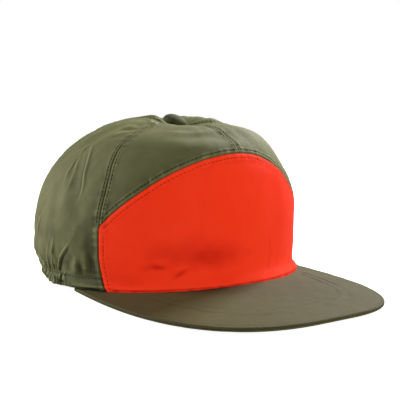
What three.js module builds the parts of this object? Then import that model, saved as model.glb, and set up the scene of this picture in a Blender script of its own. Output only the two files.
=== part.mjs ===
// A soft hunting cap: six cloth gores, a bright front panel let in under an arched seam,
// a flat bill sewn to its front, a hem gathered on elastic at the back and a covered button.
// Millimetres, +Z up. The wearer looks along -Y, and the wearer's right is -X.
import * as THREE from 'three';

// Crown, from the middle of the head oval
const FRONT_DEPTH = 100;
const BACK_DEPTH = 107.3;
const HALF_WIDTH = 89.7;
const CROWN_HEIGHT = 108;
const APEX_FORWARD = 12;
const DIMPLE_RADIUS = 18;
const DIMPLE_DEPTH = 1.5;

// Cloth and seams
const CLOTH = 1.2;
const SEAM_GAP = 0.3;
const SEAM_VALLEY_DEPTH = 0.6;
const SEAM_VALLEY_WIDTH = 4;
const FRONT_SEAM_ANGLE = 57.5;
const BACK_SEAM_ANGLE = 120;
const ARCH_PEAK_HEIGHT = 87;
const ARCH_CORNER_HEIGHT = 43;
const SIDE_SEAM_SWEEP_ANGLE = 4;
const FRONT_SEAM_LEAN_ANGLE = 3.5;
const FRONT_SEAM_LEAN_SPAN_ANGLE = 25;

// Hem, and the pleats that its elastic draws at the back
const HEM_HEIGHT = 8;
const HEM_THICKNESS = 2.4;
const HEM_PROUD = 0.5;
const CASING_PROUD = 1.7;
const HEM_DROP_DELAY = 2;
const HEM_DROP_SPAN = 30;
const CASING_START_ANGLE = 80;
const PLEAT_ANGLE = 5;
const PLEAT_DEPTH = 1.3;
const PLEAT_REACH = 42;
const PLEAT_START_ANGLE = 72;
const PLEAT_SPAN = 18;
const ELASTIC_DRAW = 4.5;
const ELASTIC_DRAW_HEIGHT = 20;
const ELASTIC_DRAW_SPAN = 22;

// Soft folds and dents, in the sizes that the table of folds takes shares of
const FOLD_DEPTH = 2;
const FOLD_WIDTH = 10;

// Bill
const BILL_LENGTH = 75.5;
const BILL_HALF_WIDTH = 82.5;
const BILL_SQUARENESS = 2.75;
const BILL_CORNER_ANGLE = 74;
const BILL_TUCK = 5;
const BILL_ARCH = 4;
const JOINT_LIFT = 1.8;
const BILL_TOP_THICKNESS = 1.3;
const BILL_UNDER_THICKNESS = 1;
const BILL_EDGE_ROUNDING = 0.5;

// Button
const BUTTON_RADIUS = 8.3;
const BUTTON_DOME = 4.8;
const BUTTON_BELLY = 2.4;
const BUTTON_TILT = 18;
const BUTTON_TILT_TOWARD = -28;

// Each row is one level of the crown, from the hem at 0 to the apex at 1. Its rise to the
// front and to the back is a share of the crown's height, and its reach to the front, back
// and side is a share of their sizes. The top slumps ahead of the button.
const CROWN_SECTIONS = [
  { level: 0.00, riseFront: 0.000, riseBack: 0.000, front: 1.000, back: 0.930, side: 0.972 },
  { level: 0.10, riseFront: 0.065, riseBack: 0.065, front: 0.930, back: 0.968, side: 0.975 },
  { level: 0.24, riseFront: 0.210, riseBack: 0.210, front: 0.910, back: 1.000, side: 1.000 },
  { level: 0.42, riseFront: 0.477, riseBack: 0.477, front: 0.912, back: 0.992, side: 0.974 },
  { level: 0.58, riseFront: 0.700, riseBack: 0.700, front: 0.869, back: 0.907, side: 0.843 },
  { level: 0.72, riseFront: 0.870, riseBack: 0.880, front: 0.734, back: 0.735, side: 0.636 },
  { level: 0.86, riseFront: 0.942, riseBack: 1.010, front: 0.446, back: 0.418, side: 0.296 },
  { level: 1.00, riseFront: 0.946, riseBack: 0.946, front: 0.000, back: 0.000, side: 0.000 },
];

// Each row is a soft fold from one place on the crown to another, each an angle and a level.
// An angle is in degrees from the front, positive to the wearer's right. The width is a share
// of the fold width, and the depth a share of the fold depth, negative where the cloth sinks.
const FOLDS = [
  { name: 'long side fold', from: [96, 0.76], to: [84, 0.40], width: 0.8, depth: -0.9 },
  { name: 'near side fold', from: [93, 0.78], to: [70, 0.42], width: 0.7, depth: -0.8 },
  { name: 'swell between them', from: [88, 0.66], to: [77, 0.46], width: 0.7, depth: 0.5 },
  { name: 'far shoulder', from: [-52, 0.76], to: [-14, 0.80], width: 1.5, depth: 1.2 },
  { name: 'near shoulder', from: [10, 0.84], to: [48, 0.84], width: 1.0, depth: 0.4 },
  { name: 'swell behind the button', from: [-72, 0.87], to: [-118, 0.88], width: 0.8, depth: 1.7 },
  { name: 'swell beside the button', from: [118, 0.93], to: [172, 0.94], width: 0.7, depth: 1.3 },
  { name: 'dip high at the side', from: [118, 0.70], to: [104, 0.66], width: 1.0, depth: -1.0 },
  { name: 'far side swell', from: [-60, 0.56], to: [-52, 0.44], width: 1.2, depth: 0.6 },
  { name: 'hollow above the arch', from: [-10, 0.75], to: [20, 0.76], width: 1.0, depth: -1.0 },
  { name: 'dent low in the front', from: [38, 0.27], to: [14, 0.13], width: 1.3, depth: -0.7 },
  { name: 'crease above the joint', from: [42, 0.14], to: [31, 0.20], width: 0.6, depth: -0.5 },
  { name: 'upright fold in the front', from: [-17, 0.20], to: [-20, 0.48], width: 0.9, depth: -0.4 },
  { name: 'far side fold', from: [-92, 0.74], to: [-80, 0.42], width: 0.9, depth: -0.8 },
  { name: 'right back fold', from: [152, 0.72], to: [140, 0.38], width: 1.0, depth: -0.8 },
  { name: 'left back fold', from: [-138, 0.70], to: [-156, 0.36], width: 1.0, depth: -0.9 },
];

// How finely the walls are divided
const COLUMN_ANGLE = PLEAT_ANGLE / 2;
const FRONT_COLUMNS = 12;
const FRONT_ROWS = 8;
const LOWER_ROWS = 5;
const UPPER_ROWS = 9;
const HEM_ROWS = 2;
const TIP_SHARE = 0.985;
const BUTTON_SIDES = 18;
const BILL_COLUMNS = 34;
const BILL_RINGS = [0, 0.3, 0.6, 0.82, 0.95, 1];

const BILL_THICKNESS = BILL_UNDER_THICKNESS + SEAM_GAP + BILL_TOP_THICKNESS;

// Way over the cloth from the hem to the apex, as the crown's levels divide it.
const CLOTH_LENGTH = CROWN_HEIGHT + 0.6 * HALF_WIDTH;

const radians = THREE.MathUtils.degToRad;

// The same direction as an angle between -180 and 180 degrees.
const heading = (angle) => THREE.MathUtils.euclideanModulo(angle + 180, 360) - 180;

const sectionLevels = CROWN_SECTIONS.map((row) => row.level);

// A smooth curve through one column of the table of sections.
function columnCurve(name) {
  const values = CROWN_SECTIONS.map((row) => row[name]);
  const curve = new THREE.CubicInterpolant(sectionLevels, values, 1, new Float64Array(1));
  return (level) => curve.evaluate(THREE.MathUtils.clamp(level, 0, 1))[0];
}

const riseFrontAt = columnCurve('riseFront');
const riseBackAt = columnCurve('riseBack');
const frontAt = columnCurve('front');
const backAt = columnCurve('back');
const sideAt = columnCurve('side');

function riseAt(angle, level) {
  const backward = (1 - Math.cos(radians(angle))) / 2;
  return THREE.MathUtils.lerp(riseFrontAt(level), riseBackAt(level), backward);
}

// Half axes of the head oval at a level, to the front or the back and to the side.
function ovalAt(angle, level) {
  const lengthways = Math.cos(radians(angle)) > 0 ? FRONT_DEPTH * frontAt(level) : BACK_DEPTH * backAt(level);
  return { lengthways, sideways: HALF_WIDTH * sideAt(level) };
}

function ovalRadius(angle, level) {
  const oval = ovalAt(angle, level);
  const along = oval.lengthways * Math.cos(radians(angle));
  const across = oval.sideways * Math.sin(radians(angle));
  return Math.hypot(along, across);
}

// Underside of the bill: bowed across, and lifted towards the middle of the joint.
function billUnderside(sideways, angle, fromJoint) {
  const bow = BILL_ARCH * Math.max(0, 1 - (sideways / BILL_HALF_WIDTH) ** 2);
  const turn = Math.min(1, Math.abs(heading(angle)) / BILL_CORNER_ANGLE);
  const lift = JOINT_LIFT * Math.cos(turn * Math.PI / 2) ** 1.5;
  return bow + lift * (1 - fromJoint) ** 1.5;
}

// Lower edge of the crown: on the bill in front, down to the table behind it.
function crownBase(angle) {
  const sideways = ovalAt(angle, 0).sideways * Math.sin(radians(angle));
  const onBill = billUnderside(sideways, angle, 0) + BILL_THICKNESS + SEAM_GAP;
  const turn = Math.abs(heading(angle));
  const dropStart = BILL_CORNER_ANGLE + HEM_DROP_DELAY;
  const down = THREE.MathUtils.smoothstep(turn, dropStart, dropStart + HEM_DROP_SPAN);
  return onBill * (1 - down);
}

// Distance in millimetres over the cloth from a place on the crown to a fold's line.
function distanceToFold(fold, angle, level) {
  const scale = radians(ovalRadius(angle, level));
  const place = new THREE.Vector2(heading(angle) * scale, level * CLOTH_LENGTH);
  const start = new THREE.Vector2(fold.from[0] * scale, fold.from[1] * CLOTH_LENGTH);
  const run = new THREE.Vector2(fold.to[0] * scale, fold.to[1] * CLOTH_LENGTH).sub(start);
  const share = THREE.MathUtils.clamp(place.clone().sub(start).dot(run) / run.lengthSq(), 0, 1);
  return place.distanceTo(start.addScaledVector(run, share));
}

function foldRelief(angle, level) {
  let relief = 0;
  for (const fold of FOLDS) {
    const spread = distanceToFold(fold, angle, level) / (FOLD_WIDTH * fold.width);
    relief += FOLD_DEPTH * fold.depth * Math.exp(-spread * spread);
  }
  return relief;
}

// The cloth is drawn in a little along each gore's seam.
function seamRelief(angle, level) {
  let relief = 0;
  for (const seam of [FRONT_SEAM_ANGLE, BACK_SEAM_ANGLE, 180]) {
    const away = radians(Math.abs(heading(angle)) - seam) * ovalRadius(angle, level) / SEAM_VALLEY_WIDTH;
    relief -= SEAM_VALLEY_DEPTH * Math.exp(-away * away);
  }
  return relief;
}

// Sharp pleats run up from the elastic and die out over their reach.
function pleatRelief(angle, level) {
  const turn = Math.abs(heading(angle));
  const round = THREE.MathUtils.smoothstep(turn, PLEAT_START_ANGLE, PLEAT_START_ANGLE + PLEAT_SPAN);
  const up = Math.max(0, 1 - riseAt(angle, level) * CROWN_HEIGHT / PLEAT_REACH) ** 1.5;
  const uneven = 1 + 0.35 * Math.sin(radians(turn * 7));
  return PLEAT_DEPTH * round * up * uneven * Math.cos(radians(angle) * 360 / PLEAT_ANGLE);
}

// How far the elastic draws the hem in towards the head.
function elasticDraw(angle, level) {
  const turn = Math.abs(heading(angle));
  const round = THREE.MathUtils.smoothstep(turn, CASING_START_ANGLE, CASING_START_ANGLE + ELASTIC_DRAW_SPAN);
  const up = Math.max(0, 1 - riseAt(angle, level) * CROWN_HEIGHT / ELASTIC_DRAW_HEIGHT);
  return ELASTIC_DRAW * round * up ** 1.5;
}

// The seams bow on their way up: those at the sides to the back, and the front one to the left.
function seamSweep(angle, level) {
  const turn = heading(angle);
  const outward = Math.max(0, Math.sin(Math.PI * Math.abs(turn) / (2 * FRONT_SEAM_ANGLE)));
  const high = THREE.MathUtils.smoothstep(level, 0.46, 0.72) * (1 - THREE.MathUtils.smoothstep(level, 0.80, 0.98));
  const sideways = Math.sign(turn) * SIDE_SEAM_SWEEP_ANGLE * outward;
  const lean = FRONT_SEAM_LEAN_ANGLE * Math.exp(-((turn / FRONT_SEAM_LEAN_SPAN_ANGLE) ** 2));
  return Math.abs(turn) < 2 * FRONT_SEAM_ANGLE ? (sideways - lean) * high : 0;
}

// A place on the crown without its folds.
function smoothCrownPoint(plainAngle, level) {
  const angle = plainAngle + seamSweep(plainAngle, level);
  const plainOval = ovalAt(angle, level);
  const draw = elasticDraw(angle, level);
  const oval = { lengthways: plainOval.lengthways - draw, sideways: plainOval.sideways - draw };
  const base = crownBase(angle);
  const x = -oval.sideways * Math.sin(radians(angle));
  const fromMiddle = -oval.lengthways * Math.cos(radians(angle));
  const inDimple = Math.max(0, 1 - (Math.hypot(x, fromMiddle) / DIMPLE_RADIUS) ** 2) ** 2;
  const y = fromMiddle - APEX_FORWARD * level ** 4;
  const z = base + riseAt(angle, level) * (CROWN_HEIGHT - base) - DIMPLE_DEPTH * inDimple;
  return new THREE.Vector3(x, y, z);
}

function crownNormal(angle, level) {
  const step = 0.004;
  const turn = 0.5;
  const below = smoothCrownPoint(angle, Math.max(0, level - step));
  const above = smoothCrownPoint(angle, Math.min(1, level + step));
  const along = above.sub(below);
  const across = smoothCrownPoint(angle + turn, level).sub(smoothCrownPoint(angle - turn, level));
  return along.cross(across).normalize();
}

// A place on the crown with its folds, moved off the cloth by a given distance. It never
// passes below the crown's own lower edge.
function crownPoint(angle, level, proud) {
  const relief = foldRelief(angle, level) + seamRelief(angle, level) + pleatRelief(angle, level);
  const point = smoothCrownPoint(angle, level);
  point.addScaledVector(crownNormal(angle, level), relief + proud);
  point.z = level > 0 ? Math.max(point.z, crownBase(angle)) : crownBase(angle);
  return point;
}

// The level at which the crown reaches a height above the table.
function levelAtHeight(angle, height) {
  let low = 0;
  let high = 0.9;
  for (let step = 0; step < 40; step += 1) {
    const middle = (low + high) / 2;
    if (smoothCrownPoint(angle, middle).z < height) low = middle;
    else high = middle;
  }
  return (low + high) / 2;
}

// The change of level that a distance over the cloth makes.
const levelOfGap = (gap) => gap / CLOTH_LENGTH;

const archPeakLevel = levelAtHeight(0, ARCH_PEAK_HEIGHT);
const archCornerLevel = levelAtHeight(FRONT_SEAM_ANGLE, ARCH_CORNER_HEIGHT);

function archLevel(angle) {
  const share = Math.abs(angle) / FRONT_SEAM_ANGLE;
  return archPeakLevel - (archPeakLevel - archCornerLevel) * share ** 2;
}

const hemLevel = (angle) => levelAtHeight(angle, crownBase(angle) + HEM_HEIGHT);

// A closed wall between an outer and an inner grid of points, with its four edges closed.
function wallGeometry(columns, rows, outerAt, innerAt) {
  const positions = [];
  const indices = [];
  const sheet = (columns + 1) * (rows + 1);
  const cell = (column, row) => row * (columns + 1) + column;
  for (const pointAt of [outerAt, innerAt]) {
    for (let row = 0; row <= rows; row += 1) {
      for (let column = 0; column <= columns; column += 1) {
        positions.push(...pointAt(column / columns, row / rows).toArray());
      }
    }
  }
  const quad = (a, b, c, d) => indices.push(a, b, c, a, c, d);
  for (let row = 0; row < rows; row += 1) {
    for (let column = 0; column < columns; column += 1) {
      const corners = [
        cell(column, row),
        cell(column + 1, row),
        cell(column + 1, row + 1),
        cell(column, row + 1),
      ];
      quad(...corners);
      quad(...corners.reverse().map((corner) => corner + sheet));
    }
  }
  const edge = (a, b) => quad(b, a, a + sheet, b + sheet);
  for (let column = 0; column < columns; column += 1) {
    edge(cell(column, 0), cell(column + 1, 0));
    edge(cell(column + 1, rows), cell(column, rows));
  }
  for (let row = 0; row < rows; row += 1) {
    edge(cell(0, row + 1), cell(0, row));
    edge(cell(columns, row), cell(columns, row + 1));
  }
  const geometry = new THREE.BufferGeometry();
  geometry.setAttribute('position', new THREE.Float32BufferAttribute(positions, 3));
  geometry.setIndex(signedVolume(positions, indices) < 0 ? indices.reverse() : indices);
  geometry.computeVertexNormals();
  return geometry;
}

function signedVolume(positions, indices) {
  const corner = (index) => new THREE.Vector3().fromArray(positions, 3 * indices[index]);
  let volume = 0;
  for (let face = 0; face < indices.length; face += 3) {
    volume += corner(face).dot(corner(face + 1).cross(corner(face + 2))) / 6;
  }
  return volume;
}

// A panel of the crown between two angles, with half a seam's gap at each side. The level of
// its rows comes from a function of the angle and the share of the way up.
function crownPanel(fromAngle, toAngle, columns, rows, levelAt, outside = 0, thickness = CLOTH) {
  const surface = (across, up, proud) => {
    const plainAngle = fromAngle + (toAngle - fromAngle) * across;
    const level = levelAt(plainAngle, up);
    const halfGap = THREE.MathUtils.radToDeg(SEAM_GAP / 2 / ovalRadius(plainAngle, level));
    const first = fromAngle + Math.sign(toAngle - fromAngle) * halfGap;
    const last = toAngle - Math.sign(toAngle - fromAngle) * halfGap;
    const angle = across === 0 ? first : across === 1 ? last : plainAngle;
    return crownPoint(angle, level, proud);
  };
  const outer = (across, up) => surface(across, up, outside);
  const inner = (across, up) => surface(across, up, outside - thickness);
  return wallGeometry(columns, rows, outer, inner);
}

const mix = THREE.MathUtils.lerp;

function columnsBetween(fromAngle, toAngle) {
  return Math.max(2, Math.round(Math.abs(toAngle - fromAngle) / COLUMN_ANGLE));
}

function frontPanel() {
  const levelAt = (angle, up) => (archLevel(angle) - levelOfGap(SEAM_GAP / 2)) * up;
  return crownPanel(-FRONT_SEAM_ANGLE, FRONT_SEAM_ANGLE, 2 * FRONT_COLUMNS, FRONT_ROWS, levelAt);
}

function frontGore(side) {
  const levelAt = (angle, up) => mix(archLevel(angle) + levelOfGap(SEAM_GAP / 2), TIP_SHARE, up);
  return crownPanel(0, side * FRONT_SEAM_ANGLE, FRONT_COLUMNS, UPPER_ROWS, levelAt);
}

// A gore that runs from the hem to the apex. Its upper rows meet those of the front gore.
function fullGore(fromAngle, toAngle) {
  const rows = LOWER_ROWS + UPPER_ROWS;
  const levelAt = (angle, up) => {
    const row = up * rows;
    const bottom = hemLevel(angle) + levelOfGap(SEAM_GAP);
    if (row < LOWER_ROWS) return mix(bottom, archCornerLevel, row / LOWER_ROWS);
    return mix(archCornerLevel, TIP_SHARE, (row - LOWER_ROWS) / UPPER_ROWS);
  };
  return crownPanel(fromAngle, toAngle, columnsBetween(fromAngle, toAngle), rows, levelAt);
}

function hemStretch(fromAngle, toAngle, proud) {
  const columns = columnsBetween(fromAngle, toAngle);
  const levelAt = (angle, up) => hemLevel(angle) * up;
  return crownPanel(fromAngle, toAngle, columns, HEM_ROWS, levelAt, proud, HEM_THICKNESS);
}

// Outline of the bill, a squared oval from one corner of the joint to the other.
function billEdge(share) {
  const turn = radians(90 * share);
  const corner = FRONT_DEPTH * Math.cos(radians(BILL_CORNER_ANGLE));
  const reach = FRONT_DEPTH + BILL_LENGTH - corner;
  const bend = 2 / BILL_SQUARENESS;
  const x = -BILL_HALF_WIDTH * Math.sign(Math.sin(turn)) * Math.abs(Math.sin(turn)) ** bend;
  const y = -corner - reach * Math.max(0, Math.cos(turn)) ** bend;
  return new THREE.Vector2(x, y);
}

// Sewn edge of the bill, tucked inside the crown.
function billJoint(share) {
  const angle = radians(BILL_CORNER_ANGLE * share);
  const oval = ovalAt(0, 0);
  const x = -(oval.sideways - BILL_TUCK) * Math.sin(angle);
  const y = -(oval.lengthways - BILL_TUCK) * Math.cos(angle);
  return new THREE.Vector2(x, y);
}

function billLayer(lowerOffset, thickness, rounding) {
  const rows = BILL_RINGS.length - 1;
  const surface = (across, up, offset) => {
    const share = 2 * across - 1;
    const fromJoint = BILL_RINGS[Math.round(up * rows)];
    const place = billJoint(share).lerp(billEdge(share), fromJoint);
    const tucked = Math.max(0, fromJoint - tuckShare(share)) / (1 - tuckShare(share));
    const z = billUnderside(place.x, BILL_CORNER_ANGLE * share, tucked) + offset;
    return new THREE.Vector3(place.x, place.y, z);
  };
  const upper = (across, up) => surface(across, up, lowerOffset + thickness - (up === 1 ? rounding : 0));
  const lower = (across, up) => surface(across, up, lowerOffset);
  return wallGeometry(BILL_COLUMNS, rows, upper, lower);
}

// Share of the way from the sewn edge to the outline that lies inside the crown.
function tuckShare(share) {
  const width = billJoint(share).distanceTo(billEdge(share));
  return Math.min(0.9, BILL_TUCK / width);
}

function billTopCover() {
  return billLayer(BILL_UNDER_THICKNESS + SEAM_GAP, BILL_TOP_THICKNESS, BILL_EDGE_ROUNDING);
}

function billUnderCover() {
  return billLayer(0, BILL_UNDER_THICKNESS, 0);
}

// The button is a cloth-covered lens: a low dome over a shallower belly.
function buttonGeometry() {
  const profile = [];
  for (let step = 0; step <= 3; step += 1) {
    const turn = step / 3 * Math.PI / 2;
    profile.push(new THREE.Vector2(BUTTON_RADIUS * Math.sin(turn), -BUTTON_BELLY * Math.cos(turn)));
  }
  for (let step = 1; step <= 4; step += 1) {
    const turn = step / 4 * Math.PI / 2;
    profile.push(new THREE.Vector2(BUTTON_RADIUS * Math.cos(turn), BUTTON_DOME * Math.sin(turn)));
  }
  profile[0].x = 0;
  profile[profile.length - 1].x = 0;
  return new THREE.LatheGeometry(profile, BUTTON_SIDES).rotateX(Math.PI / 2);
}

const buttonTurn = new THREE.Quaternion().setFromAxisAngle(
  new THREE.Vector3(0, 0, 1).cross(headingAt(BUTTON_TILT_TOWARD)).normalize(),
  radians(BUTTON_TILT),
);

function headingAt(angle) {
  return new THREE.Vector3(-Math.sin(radians(angle)), -Math.cos(radians(angle)), 0);
}

// The lowest height of the button's middle at which its belly clears the cloth under it.
function buttonSeat() {
  const undo = buttonTurn.clone().invert();
  let seat = 0;
  for (let angle = -180; angle < 180; angle += 15) {
    for (let level = 0.8; level <= 1; level += 0.01) {
      const cloth = crownPoint(angle, level, 0);
      const local = new THREE.Vector3(cloth.x, cloth.y + APEX_FORWARD, 0).applyQuaternion(undo);
      const spread = Math.hypot(local.x, local.y) / BUTTON_RADIUS;
      if (spread < 1) {
        const belly = new THREE.Vector3(local.x, local.y, -BUTTON_BELLY * Math.sqrt(1 - spread * spread));
        seat = Math.max(seat, cloth.z - belly.applyQuaternion(buttonTurn).z);
      }
    }
  }
  return seat + SEAM_GAP;
}

const cap = new THREE.Group();

function clothMaterial(color, roughness) {
  return new THREE.MeshStandardMaterial({ color, roughness, metalness: 0 });
}

function addPiece(name, geometry, color, roughness) {
  const piece = new THREE.Mesh(geometry, clothMaterial(color, roughness));
  piece.name = name;
  cap.add(piece);
  return piece;
}

const OLIVE = 0x6b7050;
const OLIVE_HEM = 0x666b4c;
const OLIVE_BROWN = 0x6b6043;
const BLAZE = 0xeb3219;

addPiece('front_panel', frontPanel(), BLAZE, 0.6);
for (const [hand, side] of [['right', 1], ['left', -1]]) {
  addPiece(`front_gore_${hand}`, frontGore(side), OLIVE, 0.7);
  addPiece(`side_gore_${hand}`, fullGore(side * FRONT_SEAM_ANGLE, side * BACK_SEAM_ANGLE), OLIVE, 0.7);
  addPiece(`back_gore_${hand}`, fullGore(side * BACK_SEAM_ANGLE, side * 180), OLIVE, 0.7);
  const band = hemStretch(side * FRONT_SEAM_ANGLE, side * CASING_START_ANGLE, HEM_PROUD);
  addPiece(`hem_band_${hand}`, band, OLIVE_HEM, 0.7);
}
const casing = hemStretch(CASING_START_ANGLE, 360 - CASING_START_ANGLE, CASING_PROUD);
addPiece('elastic_casing', casing, OLIVE_HEM, 0.75);
addPiece('bill_top_cover', billTopCover(), OLIVE_BROWN, 0.65);
addPiece('bill_under_cover', billUnderCover(), OLIVE, 0.7);

const button = addPiece('top_button', buttonGeometry(), OLIVE, 0.7);
button.quaternion.copy(buttonTurn);
button.position.set(0, -APEX_FORWARD, buttonSeat());

// The frame's origin is on the table, under the middle of the cap's whole length.
cap.position.y = (FRONT_DEPTH + BILL_LENGTH - BACK_DEPTH) / 2;

export default cap;
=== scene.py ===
"""A soft hunting cap: olive gores, a bright front panel under an arched seam, a flat bill
sewn to the front, a hem gathered on elastic at the back and a covered button."""
import math
import bmesh
import bpy
import numpy as np
from mathutils import Matrix, Vector


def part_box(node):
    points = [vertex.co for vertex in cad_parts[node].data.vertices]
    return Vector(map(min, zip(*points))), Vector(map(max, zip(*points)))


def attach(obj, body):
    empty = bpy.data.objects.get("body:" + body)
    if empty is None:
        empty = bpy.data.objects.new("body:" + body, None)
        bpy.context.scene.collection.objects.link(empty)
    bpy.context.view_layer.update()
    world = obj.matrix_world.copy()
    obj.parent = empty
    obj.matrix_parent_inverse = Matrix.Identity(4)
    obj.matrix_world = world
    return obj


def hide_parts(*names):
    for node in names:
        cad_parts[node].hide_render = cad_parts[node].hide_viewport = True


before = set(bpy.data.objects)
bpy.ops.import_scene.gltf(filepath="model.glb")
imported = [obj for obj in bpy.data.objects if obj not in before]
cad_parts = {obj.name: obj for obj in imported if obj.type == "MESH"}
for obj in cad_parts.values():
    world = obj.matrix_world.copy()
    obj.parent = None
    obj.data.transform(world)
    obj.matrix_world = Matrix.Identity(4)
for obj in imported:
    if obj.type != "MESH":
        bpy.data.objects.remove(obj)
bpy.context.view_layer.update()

# Sizes are in millimetres here, from the middle of the head oval, and become metres in the cap's
# own frame where a mesh is filled. Angles are degrees round the crown: 0 is the front and plus is
# the wearer's right. Levels are shares of the way over the cloth, from the hem to the apex.
MM = 0.001

# The crown
FRONT_DEPTH = 100
BACK_DEPTH = 107.3
HALF_WIDTH = 89.7
CROWN_HEIGHT = 108
CLOTH_LENGTH = CROWN_HEIGHT + 0.6 * HALF_WIDTH
APEX_FORWARD = 12
DIMPLE_RADIUS = 18
DIMPLE_DEPTH = 1.5
CLOTH = 1.2
TIP_SHARE = 0.985

# Its seams
SEAM_GAP = 0.3
SEAM_EDGE = 0.04
FRONT_SEAM_ANGLE = 57.5
BACK_SEAM_ANGLE = 120
LONG_SEAMS = (FRONT_SEAM_ANGLE, -FRONT_SEAM_ANGLE, BACK_SEAM_ANGLE, -BACK_SEAM_ANGLE, 180)
ARCH_PEAK_HEIGHT = 87
ARCH_CORNER_HEIGHT = 43
SIDE_SEAM_SWEEP_ANGLE = 4
FRONT_SEAM_LEAN_ANGLE = 3.5
FRONT_SEAM_LEAN_SPAN_ANGLE = 25

# The folded hem, and the stretch of it that is the elastic's casing
HEM_HEIGHT = 8
HEM_THICKNESS = 2.4
HEM_PROUD = 0.5
HEM_RIM = 1.3
HEM_EDGE = 0.1
HEM_DROP_DELAY = 2
HEM_DROP_SPAN = 30
CASING_PROUD = 1.7
CASING_START_ANGLE = 80
RUFFLE_PITCH_ANGLE = 1.45
ELASTIC_DRAW = 4.5
ELASTIC_DRAW_HEIGHT = 20
ELASTIC_DRAW_SPAN = 22

# Folds, gathers and crumples
FOLD_DEPTH = 2
FOLD_WIDTH = 10
GATHER_START_ANGLE = 75
GATHER_PITCH_ANGLE = 2.45
CRUMPLE_RADIUS = 84
LINING_RELIEF = 0.85
# How much a place that lies low on the whole adds to its painted shade.
SUNK_SHARE = 0.3
NOISE_CELLS = 64

# The bill
BILL_LENGTH = 75.5
BILL_HALF_WIDTH = 82.5
BILL_SQUARENESS = 2.75
BILL_CORNER_ANGLE = 74
BILL_TUCK = 5
BILL_ARCH = 4
BILL_ROUNDING = 1.15
BILL_TOP_THICKNESS = 1.3
BILL_TOP_LIFT = 0.12
BILL_TOP_SWELL = 0.18
BILL_UNDER_THICKNESS = 1
BILL_THICKNESS = BILL_UNDER_THICKNESS + SEAM_GAP + BILL_TOP_THICKNESS
JOINT_LIFT = 1.8
CAP_FORWARD = (FRONT_DEPTH + BILL_LENGTH - BACK_DEPTH) / 2

# The button
BUTTON_RADIUS = 8.3
BUTTON_DOME = 4.8
BUTTON_BELLY = 2.4
BUTTON_TILT = 18
BUTTON_TILT_TOWARD = -28
BUTTON_LIFT = 0.8

# Stitches, and how far their rows are from the seams and the bill's outline
STITCH_PITCH = 2.7
STITCH_LENGTH = 2.0
STITCH_RADIUS = 0.27
FRONT_STITCH_RADIUS = 0.25
BILL_STITCH_PITCH = 2.9
BILL_STITCH_SINK = 0.12
THREAD_PROUD = 0.12
SEAM_ROW = 1.9
ARCH_ROW_ABOVE = 2.8
ARCH_ROW_BELOW = 3.5
HEM_ROW_DROP = 1.3
BILL_ROWS = (20.0, 26.0)

# Sections of the crown from the hem at level 0 to the apex at level 1.
SECTIONS = {
    "level": (0.00, 0.10, 0.24, 0.42, 0.58, 0.72, 0.86, 1.00),
    "rise_front": (0.000, 0.065, 0.210, 0.477, 0.700, 0.870, 0.942, 0.946),
    "rise_back": (0.000, 0.065, 0.210, 0.477, 0.700, 0.880, 1.010, 0.946),
    "front": (1.000, 0.930, 0.910, 0.912, 0.869, 0.734, 0.446, 0.000),
    "back": (0.930, 0.968, 1.000, 0.992, 0.907, 0.735, 0.418, 0.000),
    "side": (0.972, 0.975, 1.000, 0.974, 0.843, 0.636, 0.296, 0.000),
}

# Broad folds: name, start angle and level, end angle and level, width share, depth share.
BROAD_FOLDS = (
    ("long side fold", 96, 0.76, 84, 0.40, 0.8, -0.9),
    ("near side fold", 93, 0.78, 70, 0.42, 0.7, -0.8),
    ("swell between them", 88, 0.66, 77, 0.46, 0.7, 0.5),
    ("far shoulder", -52, 0.76, -14, 0.80, 1.5, 1.2),
    ("near shoulder", 10, 0.84, 48, 0.84, 1.0, 0.4),
    ("swell behind the button", -72, 0.87, -118, 0.88, 0.8, 1.7),
    ("swell beside the button", 118, 0.93, 172, 0.94, 0.7, 1.3),
    ("dip high at the side", 118, 0.70, 104, 0.66, 1.0, -1.0),
    ("far side swell", -60, 0.56, -52, 0.44, 1.2, 0.6),
    ("hollow above the arch", -10, 0.75, 20, 0.76, 1.0, -1.0),
    ("dent low in the front", 38, 0.27, 14, 0.13, 1.3, -0.7),
    ("crease above the joint", 42, 0.14, 31, 0.20, 0.6, -0.5),
    ("upright fold in the front", -17, 0.20, -20, 0.48, 0.9, -0.4),
    ("far side fold", -92, 0.74, -80, 0.42, 0.9, -0.8),
    ("right back fold", 152, 0.72, 140, 0.38, 1.0, -0.8),
    ("left back fold", -138, 0.70, -156, 0.36, 1.0, -0.9),
)

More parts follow.
